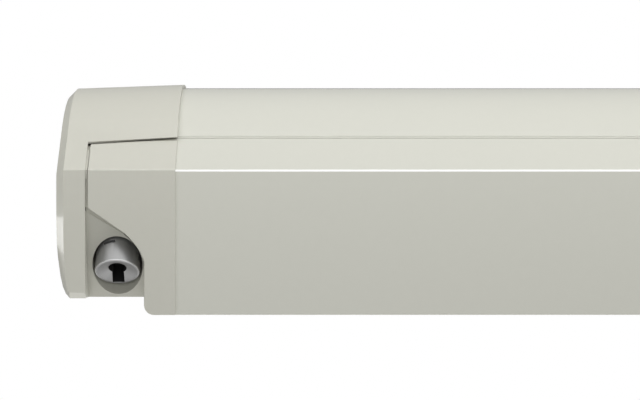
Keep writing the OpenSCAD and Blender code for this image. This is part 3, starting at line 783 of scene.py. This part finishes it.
@dataclass(frozen=True)
class Fastener:
    """Screw or bolt in millimetres, set out at the places of a node's solids by a geometry tree."""

    RIM_SHARE = 0.28
    RIM_DRAW = 0.84
    SHANK_SIDES = 20
    SOCKET_SIDES = 6

    head_radius: float
    head_height: float
    shank_radius: float
    shank_length: float
    head_sides: int
    socket_radius: float
    socket_depth: float

    @staticmethod
    def label(field: str) -> str:
        """Name of the tree's input for a field."""
        return field.replace("_", " ").title()

    @staticmethod
    def cylinder(tree: Tree, sides: object, radius: object, depth: object) -> NodeOutputs:
        """Adds an upright cylinder to the tree, and gives its outputs."""
        return tree.add("GeometryNodeMeshCylinder", fill_type="NGON", Vertices=sides, Radius=radius,
                        Depth=depth).outputs

    @staticmethod
    def lifted(tree: Tree, shape: NodeSocket, height: object) -> NodeSocket:
        """Moves a shape of the tree along Z, and gives the moved shape."""
        way = tree.first("ShaderNodeCombineXYZ", Z=height)
        return tree.first("GeometryNodeTransform", Geometry=shape, Translation=way)

    @classmethod
    @cache
    def tree(cls) -> NodeTree:
        """Builds the tree that makes one fastener and sets it at every point of the piece.

        Returns:
            The tree.
        """
        kinds = {"float": FLOAT, "int": "NodeSocketInt"}
        sizes = {cls.label(field.name): kinds[field.type] for field in fields(cls)}
        inputs = {"Places": GEOMETRY, **sizes, "Finish": "NodeSocketMaterial"}
        tree = Tree.group("fastener_row", inputs, {"Fasteners": GEOMETRY}, "GeometryNodeTree")
        given = tree.add("NodeGroupInput").outputs
        rim = tree.math("MULTIPLY", given["Head Height"], cls.RIM_SHARE)
        wall = tree.math("SUBTRACT", given["Head Height"], rim)
        half_wall = tree.math("MULTIPLY", wall, 0.5)
        head = cls.cylinder(tree, given["Head Sides"], given["Head Radius"], wall)
        rise = tree.add("GeometryNodeExtrudeMesh", mode="FACES", Mesh=head["Mesh"],
                        Selection=head["Top"], Offset_Scale=rim).outputs
        drawn_in = tree.first("GeometryNodeScaleElements", domain="FACE", Geometry=rise["Mesh"],
                              Selection=rise["Top"], Scale=cls.RIM_DRAW)
        reach = tree.math("ADD", given["Shank Length"], half_wall)
        shank = cls.cylinder(tree, cls.SHANK_SIDES, given["Shank Radius"], reach)["Mesh"]
        sink = tree.math("SUBTRACT", half_wall, tree.math("MULTIPLY", reach, 0.5))
        whole = tree.add("GeometryNodeMeshBoolean", operation="UNION", solver="EXACT")
        for shape, height in ((drawn_in, half_wall), (shank, sink)):
            tree.put(whole, Mesh_2=cls.lifted(tree, shape, height))
        deep = tree.math("MULTIPLY", given["Socket Depth"], 2.0)
        cutter = cls.cylinder(tree, cls.SOCKET_SIDES, given["Socket Radius"], deep)["Mesh"]
        cut = tree.first("GeometryNodeMeshBoolean", operation="DIFFERENCE", solver="EXACT",
                         Mesh_1=whole.outputs[0], Mesh_2=cls.lifted(tree, cutter, given["Head Height"]))
        facing = tree.first("GeometryNodeInputNamedAttribute", data_type="FLOAT_VECTOR", Name="facing")
        turn = tree.first("FunctionNodeAlignRotationToVector", axis="Z", Vector=facing)
        row = tree.first("GeometryNodeInstanceOnPoints", Points=given["Places"], Instance=cut,
                         Rotation=turn)
        real = tree.first("GeometryNodeRealizeInstances", Geometry=row)
        dressed = tree.first("GeometryNodeSetMaterial", Geometry=real, Material=given["Finish"])
        tree.add("NodeGroupOutput", Fasteners=dressed)
        return tree.tree

    def set_out(self, frame: Frame, node: str, finish: Finish, facing: Vector | None) -> None:
        """Stands finished fasteners in the place of a node.

        Args:
            frame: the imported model.
            node: node of one solid for each fastener.
            finish: finish of the fasteners.
            facing: where the heads face, or none for outwards along X.
        """
        places, ways = [], []
        for low, high in islands(frame.data["nodes"][node]):
            middle = (low + high) / 2
            way = facing or Vector((math.copysign(1.0, middle.x), 0.0, 0.0))
            half = abs((high - low).dot(way)) / 2
            places.append(middle + way * (half - self.head_height * MM))
            ways.append(way)
        piece = add_piece(f"{node}_piece", places, [])
        attribute = piece.data.attributes.new("facing", "FLOAT_VECTOR", "POINT")
        for item, way in zip(attribute.data, ways):
            item.vector = way
        modifier = piece.modifiers.new("fasteners", "NODES")
        modifier.node_group = self.tree()
        values = {self.label(name): value if isinstance(value, int) else value * MM
                  for name, value in asdict(self).items()}
        values["Finish"] = finish.look()
        for socket in modifier.node_group.interface.items_tree:
            if socket.name in values:
                modifier[socket.identifier] = values[socket.name]
        apply_modifiers(piece)
        shade_by_angle(piece.data, CREASE_DEGREES)
        frame.seat(piece, frame.body_of[node], finish, node)


@dataclass
class Housing:
    """Cassette profile with its seals and the two end caps."""

    frame: Frame
    edge: Rounding = Rounding(0.35, 2, off_seam)
    cap_edge: Rounding = Rounding(0.9, 3, off_seam)
    small_edge: Rounding = Rounding(0.6)
    cap_screw: Fastener = Fastener(3.2, 1.8, 1.6, 72.0, 32, 1.55, 1.1)
    bracket_bolt: Fastener = Fastener(4.0, 2.6, 2.5, 4.0, 6, 1.4, 0.7)

    def build(self) -> None:
        """Rounds the profile and the caps, dresses the seals and sets out the screws and bolts."""
        self.frame.soften(Finish.PROFILE, self.edge, "cassette")
        for side in Side:
            self.frame.soften(Finish.CAP, self.cap_edge, *side.names("end_cap"))
            self.frame.soften(Finish.ALLOY, self.small_edge, *side.names("shoulder_bracket"))
        self.frame.dress(Finish.SEAL, "hood_seal", "wall_seal")
        self.frame.soften(Finish.GREY_PLASTIC, self.small_edge, "gearbox", "idler_bearing")
        self.frame.dress(Finish.STEEL, "shoulder_pins")
        self.cap_screw.set_out(self.frame, "cap_screws", Finish.STEEL, None)
        self.bracket_bolt.set_out(self.frame, "bracket_bolts", Finish.STEEL, Vector((0.0, -1.0, 0.0)))


def prism(name: str, near: Sequence[Sequence[float]], far: Sequence[Sequence[float]]) -> Object:
    """Makes a straight bar between two outlines with equal numbers of corners.

    Args:
        name: piece name.
        near: corners of the first end, in millimetres.
        far: corners of the second end, in millimetres.

    Returns:
        The bar, with its faces pointing outwards.
    """
    count = len(near)
    points = [[c * MM for c in p] for p in (*near, *far)]
    faces = [tuple(range(count)), tuple(range(2 * count - 1, count - 1, -1))]
    faces += [(i, i + count, (i + 1) % count + count, (i + 1) % count) for i in range(count)]
    piece = add_piece(name, points, faces)
    work = bmesh.new()
    work.from_mesh(piece.data)
    bmesh.ops.recalc_face_normals(work, faces=work.faces)
    work.to_mesh(piece.data)
    work.free()
    return piece


@dataclass
class GapRibs:
    """Lip under the hood's edge and ribs in the end caps, which close the gaps round the lead rail.

    Sizes are in millimetres, in the section (Y, Z) of the profile or along X.
    """

    frame: Frame
    hood_end: Pair = (-72.66, 31.48)
    rail_end: Pair = (-73.42, 30.57)
    lip_sunk: float = 0.3
    lip_deep: float = 1.4
    lip_bite: float = 0.4
    seam_x: float = 890.0
    seam_gap: float = 0.02
    strip_x: float = 935.1
    rail_cap_x: float = 933.8
    front: float = -90.0
    fall: float = 2.5
    cap_top: float = 27.4
    cap_face: float = -90.8
    cap_edge: float = 14.05
    gap: float = 1.2
    play: float = 0.25
    bite: float = 0.3
    slope: float = math.tan(math.radians(10.0))
    top_back: float = 1.3
    top_deep: float = 2.5
    side_steps: tuple[Pair, ...] = ((-4.6, 2.2), (9.6, 2.2), (9.6, 1.3), (14.05, 1.3),
                                    (24.4, 1.3), (24.4, 3.2), (26.4, 3.2))
    side_deep: float = 2.6
    under_cap: Point = (-933.0, -89.0, -5.37)
    cap_fall: float = 0.687
    on_block: Point = (-933.0, -87.0, -7.77)
    block_fall: float = 0.65
    recess_wall: Pair = (-85.44, -13.56)
    wall_lean: float = 0.362
    slope_x: Pair = (-934.8, -916.2)
    slope_deep: float = 2.8

    @staticmethod
    def bar(name: str, section: Sequence[Pair], near: float, far: float) -> Object:
        """Makes a bar of one section (Y, Z) between two places along X."""
        return prism(name, *([(x, y, z) for y, z in section] for x in (near, far)))

    def lip(self) -> Object:
        """Soft lip that fills most of the gap between the hood and the rail's sloping band.

        Returns:
            The lip.
        """
        span = math.dist(self.hood_end, self.rail_end)
        ay, az = ((hood - rail) / span for hood, rail in zip(self.hood_end, self.rail_end))
        corners = ((self.hood_end, self.lip_bite, self.lip_sunk), (self.rail_end, self.play, self.lip_sunk),
                   (self.rail_end, self.play, self.lip_deep), (self.hood_end, self.lip_bite, self.lip_deep))
        outline = [(y + az * deep + ay * on, z - ay * deep + az * on) for (y, z), on, deep in corners]
        return self.bar("hood_lip", outline, -self.seam_x, self.seam_x)

    def top_rib(self, side: Side) -> Object:
        """Rib over the rail's cap, along the slanting gap.

        Args:
            side: end of the awning.

        Returns:
            The rib.
        """
        ends = []
        for place, drop in ((self.seam_x + self.seam_gap, 0.0), (self.strip_x, self.fall)):
            x, top = side.value * place, self.cap_top - drop
            rise = (top - self.cap_edge - (self.front - self.cap_face)) / (1.0 - self.slope)
            near = self.front + rise + self.top_back
            far = near + self.top_deep
            low = [top + (y - self.front) * self.slope + self.play for y in (near, far)]
            high = [top + (y - self.front) * self.slope + self.gap + self.bite for y in (near, far)]
            ends.append([(x, near, low[0]), (x, near, high[0]), (x, far, high[1]), (x, far, low[1])])
        return prism(f"{side.word}_top_rib", *ends)

    def side_rib(self, side: Side) -> Object:
        """Rib beside the rail's cap, stepped as it follows the front face and the band.

        Args:
            side: end of the awning.

        Returns:
            The rib.
        """
        outer = [(self.cap_face + max(0.0, z - self.cap_edge) + sunk, z) for z, sunk in self.side_steps]
        section = outer + [(y + self.side_deep, z) for y, z in reversed(outer)]
        near, far = self.strip_x + self.bite, self.rail_cap_x + self.play
        return self.bar(f"{side.word}_side_rib", section, side.value * near, side.value * far)

    def slanting(self, point: Point, fall: float, x: float, y: float) -> float:
        """Height of a slanting face through a point, which rises to the rear as the rail's path does."""
        return point[2] - fall * (x - point[0]) + self.slope * (y - point[1])

    def slope_rib(self) -> Object:
        """Rib over the crank recess, along the slanting lower edge of the rail's cap.

        Returns:
            The rib.
        """
        ends = []
        for x in self.slope_x:
            middle = self.slanting(self.on_block, self.block_fall, x, self.recess_wall[0])
            front = self.recess_wall[0] - self.wall_lean * (middle - self.recess_wall[1]) + self.play
            rear = front + self.slope_deep
            low = [self.slanting(self.on_block, self.block_fall, x, y) - self.play for y in (front, rear)]
            high = [self.slanting(self.under_cap, self.cap_fall, x, y) - self.play for y in (front, rear)]
            ends.append([(x, front, low[0]), (x, front, high[0]), (x, rear, high[1]), (x, rear, low[1])])
        return prism("left_slope_rib", *ends)

    def build(self) -> None:
        """Makes the lip and the ribs, which all stay with the cassette."""
        self.frame.seat(self.lip(), "cassette", Finish.PROFILE)
        self.frame.seat(self.slope_rib(), "cassette", Finish.CAP)
        for side in Side:
            for piece in (self.top_rib(side), self.side_rib(side)):
                self.frame.seat(piece, "cassette", Finish.CAP)


def refinish(mesh: Mesh, finish: Finish, chosen: FaceChoice) -> None:
    """Gives some faces of a mesh another finish.

    Args:
        mesh: mesh of a finished piece.
        finish: finish of the chosen faces.
        chosen: test of the faces.
    """
    mesh.materials.append(finish.look())
    faces = [face for face in mesh.polygons if chosen(face)]
    for face in faces:
        face.material_index = len(mesh.materials) - 1
    LOG.info("%d faces of %s have the finish %s", len(faces), mesh.name, finish.slot)


@dataclass
class CrankDrive:
    """Crank eye with its worm, and the worm wheel, in millimetres."""

    frame: Frame
    keyhole_radius: float = 4.75
    keyhole_half: float = 4.05
    keyhole_margin: float = 0.1
    slot_half: float = 3.1
    slot_reach: float = 9.8
    rim_radius: float = 10.6
    ring_margin: float = 0.3
    ring_lean: float = 0.1
    edge_mm: float = 0.5
    edge_steps: int = 5
    crease: float = 16.0

    def from_mouth(self, point: Vector) -> Point:
        """Place of a point in the eye's own directions.

        Args:
            point: point in the frame, in metres.

        Returns:
            Distance across, up the mouth and out along the axis, from the keyhole's middle.
        """
        mount = next(m for m in self.frame.data["record"]["mounts"] if m["name"] == "crank_socket")
        axis, across = Vector(mount["axis"]), Vector((1.0, 0.0, 0.0))
        way = (point - Vector(mount["pos_m"])) / MM
        return way.dot(across), way.dot(axis.cross(across)), way.dot(axis)

    def on_rim(self, edge: BMEdge) -> bool:
        """Tells whether a sharp edge is on the mouth's outer rim."""
        places = [self.from_mouth(v.co) for v in edge.verts]
        return all(math.hypot(x, y) > self.rim_radius and depth > self.keyhole_half for x, y, depth in places)

    def in_ring(self, face: MeshPolygon) -> bool:
        """Tells whether a face is in the rounded ring about the mouth, which gets a glossier metal and a
        painted highlight: a lighter colour that stands in for the light the rim catches.

        Args:
            face: face of the crank eye.

        Returns:
            True in the ring.
        """
        x, y, depth = self.from_mouth(face.center)
        outward = self.from_mouth(face.center + face.normal * MM)[2] - depth
        at_rim = math.hypot(x, y) > self.rim_radius - self.ring_margin
        return at_rim and depth > self.keyhole_half and outward > self.ring_lean

    def in_keyhole(self, point: Vector) -> bool:
        """Tells whether a point is on the walls of the keyhole and its slot, which are painted near-black as
        shade that stands in for the dark of the deep hole.

        Args:
            point: point of the crank eye.

        Returns:
            True on the walls.
        """
        x, y, depth = self.from_mouth(point)
        in_hole = math.hypot(x, y) < self.keyhole_radius and depth < self.keyhole_half
        in_slot = abs(x) < self.slot_half and -self.slot_reach < y < self.keyhole_radius
        return depth > -self.keyhole_half - self.keyhole_margin and (in_hole or in_slot)

    def build(self) -> None:
        """Rounds the eye's rim, paints shade into its keyhole and a highlight on its rim, and dresses the
        gears.
        """
        rounding = Rounding(self.edge_mm, self.edge_steps, self.on_rim, self.crease)
        eye = self.frame.soften(Finish.EYE, rounding, "crank_eye")
        # Paints shade on the keyhole walls and a highlight on the rim.
        inside = {v.index for v in eye.vertices if self.in_keyhole(v.co)}
        refinish(eye, Finish.DARK, lambda face: inside.issuperset(face.vertices))
        refinish(eye, Finish.RIM, self.in_ring)
        self.frame.dress(Finish.STEEL, "worm", "worm_wheel")


@dataclass
class Roller:
    """Roller tube with its plugs and the wound canvas."""

    frame: Frame
    axis_y: float = -0.034
    axis_z: float = 0.0095
    core: float = 0.0201
    outer: float = 0.02475
    half: float = CLOTH_HALF
    cloth: float = 0.0003
    turns: float = 9.2
    end_degrees: float = 108.0
    steps: int = 48
    columns: int = 24
    tube_edge: Rounding = Rounding(0.2)
    plug_edge: Rounding = Rounding(0.5)

    def spiral(self) -> tuple[list[Pair], list[float]]:
        """Path of the wound cloth in (Y, Z), from the tube to the outside.

        Returns:
            The points, and the length of cloth up to each of them.
        """
        count = int(self.turns * self.steps)
        path, run = [], [0.0]
        for i in range(count + 1):
            share = i / count
            radius = self.core + (self.outer - self.core) * share
            angle = math.radians(self.end_degrees) + 2 * math.pi * self.turns * (share - 1.0)
            path.append((self.axis_y + radius * math.cos(angle), self.axis_z + radius * math.sin(angle)))
            if i:
                run.append(run[-1] + math.dist(path[-1], path[-2]))
        return path, run

    def build(self) -> None:
        """Winds the canvas and dresses the tube."""
        self.frame.soften(Finish.ALLOY, self.tube_edge, "roller_tube")
        self.frame.soften(Finish.GREY_PLASTIC, self.plug_edge, "drive_plug", "idler_plug")
        path, run = self.spiral()
        roll = woven_sheet("wound_canvas", path, run, self.half, self.columns, self.cloth)
        self.frame.seat(roll, "roller", Finish.CANVAS, "canvas_roll")


def woven_sheet(name: str, path: Sequence[Pair], along: Sequence[float], half: float,
                columns: int, thickness: float) -> Object:
    """Makes a sheet that lies across X and follows a path, with a UV map in metres of cloth.

    Args:
        name: piece name.
        path: points of the path in (Y, Z).
        along: length of cloth up to each point.
        half: half of the width in metres.
        columns: number of faces across.
        thickness: in metres.

    Returns:
        The sheet.
    """
    across = [-half + 2 * half * i / columns for i in range(columns + 1)]
    wide = len(across)
    faces = [(r * wide + c, r * wide + c + 1, (r + 1) * wide + c + 1, (r + 1) * wide + c)
             for r in range(len(path) - 1) for c in range(columns)]
    piece = add_piece(name, [(x, y, z) for y, z in path for x in across], faces)
    layer = piece.data.uv_layers.new(name="cloth")
    for loop in piece.data.loops:
        row, column = divmod(loop.vertex_index, wide)
        layer.data[loop.index].uv = (across[column], along[row])
    for face in piece.data.polygons:
        face.use_smooth = True
    solid = piece.modifiers.new("cloth_thickness", "SOLIDIFY")
    solid.thickness = thickness
    solid.offset = 0.0
    apply_modifiers(piece)
    return piece


@dataclass
class CanvasRun:
    """Canvas between the roller and the bead in the lead rail, which draws out with the arms."""

    frame: Frame
    half: float = CLOTH_HALF
    start: Pair = (-0.04197, 0.03364)
    end: Pair = (-0.0656, 0.0258)
    cloth: float = 0.0004
    rows: int = 90
    columns: int = 36

    def build(self) -> None:
        """Makes the cloth as a straight sheet between the rail and the roller, and dresses the bead."""
        (y0, z0), (y1, z1) = self.start, self.end
        shares = [i / self.rows for i in range(self.rows + 1)]
        path = [(y0 + (y1 - y0) * t, z0 + (z1 - z0) * t) for t in shares]
        length = math.dist(self.start, self.end)
        along = [length * t for t in shares]
        piece = woven_sheet("canvas_run", path, along, self.half, self.columns, self.cloth)
        self.frame.paint(piece, Finish.DRAWN_CANVAS)
        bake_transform(piece)
        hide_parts("canvas_strip")
        LOG.info("%s is drawn between the rail and the roller", piece.name)
        self.frame.dress(Finish.DRAWN_CANVAS, "canvas_bead")


@dataclass
class FoldingArm:
    """One folding arm with its castings, tubes and pins."""

    frame: Frame
    side: Side
    casting_edge: Rounding = Rounding(0.9, 3)
    tube_edge: Rounding = Rounding(0.8, 3)

    def build(self) -> None:
        """Rounds the castings and tubes, and dresses the pins."""
        names = self.side.names
        castings = names("upper_shoulder", "upper_elbow", "fore_elbow", "fore_wrist")
        self.frame.soften(Finish.ALLOY, self.casting_edge, *castings)
        self.frame.soften(Finish.ARM_PROFILE, self.tube_edge, *names("upper_tube", "fore_tube"))
        self.frame.dress(Finish.STEEL, *names("elbow_pin"))


@dataclass
class LeadRail:
    """Front profile with its caps and the brackets of arms and legs."""

    frame: Frame
    edge: Rounding = Rounding(0.6, 4, off_seam)
    cap_edge: Rounding = Rounding(0.6, 3, off_seam)
    bracket_edge: Rounding = Rounding(0.5)
    # Lean and reach of the faces that get the painted highlight along the rail's front edge.
    rubbed_rise: Pair = (0.05, 0.66)
    rubbed_front: float = -0.5
    level: float = 1e-5

    def along_edge(self) -> FaceChoice:
        """Finds the edge between the sloping band and the front face, which gets a painted highlight:
        near-white paint that stands in for the light the rounded edge catches.

        Returns:
            Test of the faces that round it.
        """
        places = [v.co for v in self.frame.data["nodes"]["lead_rail"].data.vertices]
        front = min(p.y for p in places)
        top = max(p.z for p in places if p.y < front + self.level)
        low, high = self.rubbed_rise
        reach = 2 * self.edge.width_mm * MM

        def rounds(face: MeshPolygon) -> bool:
            """Tells whether a face leans as the rounded edge does and lies along it."""
            leans = low < face.normal.z < high and face.normal.y < self.rubbed_front
            return leans and math.hypot(face.center.y - front, face.center.z - top) < reach

        return rounds

    def build(self) -> None:
        """Rounds the rail, its caps and its brackets."""
        rail = self.frame.soften(Finish.PROFILE, self.edge, "lead_rail")
        # Paints a highlight on the faces that round the rail's front edge.
        refinish(rail, Finish.EDGE, self.along_edge())
        for side in Side:
            self.frame.soften(Finish.CAP, self.cap_edge, *side.names("rail_cap"))
            self.frame.soften(Finish.ALLOY, self.bracket_edge, *side.names("wrist_bracket", "leg_bracket"))
        self.frame.dress(Finish.STEEL, "wrist_pins", "leg_pins")


@dataclass
class SupportLeg:
    """One support leg with its hinge, tubes, collar and foot."""

    frame: Frame
    side: Side
    tube_edge: Rounding = Rounding(0.7, 3)
    end_edge: Rounding = Rounding(0.6)

    def build(self) -> None:
        """Rounds the tubes and the moulded ends."""
        ends = self.side.names("leg_hinge", "leg_collar", "leg_foot")
        self.frame.soften(Finish.ALLOY, self.tube_edge, *self.side.names("leg_tube", "leg_inner"))
        self.frame.soften(Finish.GREY_PLASTIC, self.end_edge, *ends)


@dataclass(frozen=True)
class Lamp:
    """Soft rectangular light, with its place and the point it faces, its size in metres and its watts."""

    name: str
    place: Point
    aim: Point
    size: Pair
    power: float

    def hang(self) -> None:
        """Adds the light to the scene."""
        light = bpy.data.lights.new(self.name, "AREA")
        light.shape = "RECTANGLE"
        light.size, light.size_y = self.size
        light.energy = self.power
        holder = bpy.data.objects.new(self.name, light)
        holder.location = self.place
        holder.rotation_euler = (Vector(self.aim) - Vector(self.place)).to_track_quat("-Z", "Y").to_euler()
        holder.visible_camera = False
        bpy.context.scene.collection.objects.link(holder)


@dataclass
class Studio:
    """Pale floor, soft lights and the camera of the photograph."""

    camera_place: Point = (-0.8176, -1.09, -0.001)
    lens: float = 112.5
    sensor: float = 36.0
    far_clip: float = 200.0
    floor_z: float = -2.0
    floor_reach: float = 5.0
    backdrop: float = 1.0
    fill: float = 0.45
    left_fill: float = 0.2
    lamps: tuple[Lamp, ...] = (
        Lamp("top_strip", (-0.2, -0.27, 0.33), (-0.2, -0.07, 0.02), (2.4, 0.15), 4.35),
        Lamp("front_soft", (-0.92, -1.7, -0.6), (-0.8, -0.09, 0.0), (1.6, 1.0), 1.3),
        Lamp("under_glow", (-0.9, -0.14, -1.1), (-0.9, -0.07, -0.03), (1.6, 0.6), 5.0),
        Lamp("back_soft", (0.0, 2.2, -0.7), (0.0, 0.0, 0.0), (2.4, 1.2), 8.0),
        Lamp("side_glint", (-2.1, 0.06, -0.04), (-0.95, -0.088, -0.015), (0.3, 0.13), 1.6))

    def sky(self) -> World:
        """White backdrop that gives the object less light than it shows, and least from the left.

        Returns:
            The world.
        """
        world = bpy.data.worlds.new("studio_white")
        world.use_nodes = True
        tree = Tree(world.node_tree)
        seen = tree.add("ShaderNodeLightPath").outputs["Is Camera Ray"]
        way = tree.add("ShaderNodeTexCoord").outputs["Generated"]
        across = tree.first("ShaderNodeSeparateXYZ", Vector=way)
        fill = tree.first("ShaderNodeMapRange", Value=across, From_Min=-1.0, From_Max=0.0,
                          To_Min=self.left_fill, To_Max=self.fill)
        strength = tree.math("MULTIPLY_ADD", seen, tree.math("SUBTRACT", self.backdrop, fill), fill)
        tree.put(world.node_tree.nodes["Background"], Color=(1.0, 1.0, 1.0), Strength=strength)
        return world

    def build(self) -> None:
        """Sets up the floor, world, lights and camera."""
        scene = bpy.context.scene
        scene.view_settings.view_transform = "Standard"
        scene.view_settings.look = "None"
        corners = [(x * self.floor_reach, y * self.floor_reach, self.floor_z)
                   for x, y in ((-1, -1), (1, -1), (1, 1), (-1, 1))]
        floor = add_piece("studio_floor", corners, [(0, 1, 2, 3)])
        floor.data.materials.append(Finish.FLOOR.look())
        scene.world = self.sky()
        for lamp in self.lamps:
            lamp.hang()
        lens = bpy.data.cameras.new("front_camera")
        lens.lens = self.lens
        lens.sensor_width = self.sensor
        lens.clip_end = self.far_clip
        camera = bpy.data.objects.new("front_camera", lens)
        camera.location = self.camera_place
        camera.rotation_euler = (math.radians(90.0), 0.0, 0.0)
        scene.collection.objects.link(camera)
        scene.camera = camera


def main() -> None:
    """Builds the awning's pieces in order."""
    logging.basicConfig(level=logging.INFO, format="%(name)s: %(message)s")
    frame = Frame()
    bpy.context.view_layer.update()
    Studio().build()
    Housing(frame).build()
    GapRibs(frame).build()
    CrankDrive(frame).build()
    Roller(frame).build()
    CanvasRun(frame).build()
    for side in Side:
        FoldingArm(frame, side).build()
        SupportLeg(frame, side).build()
    LeadRail(frame).build()


if __name__ == "__main__":
    main()
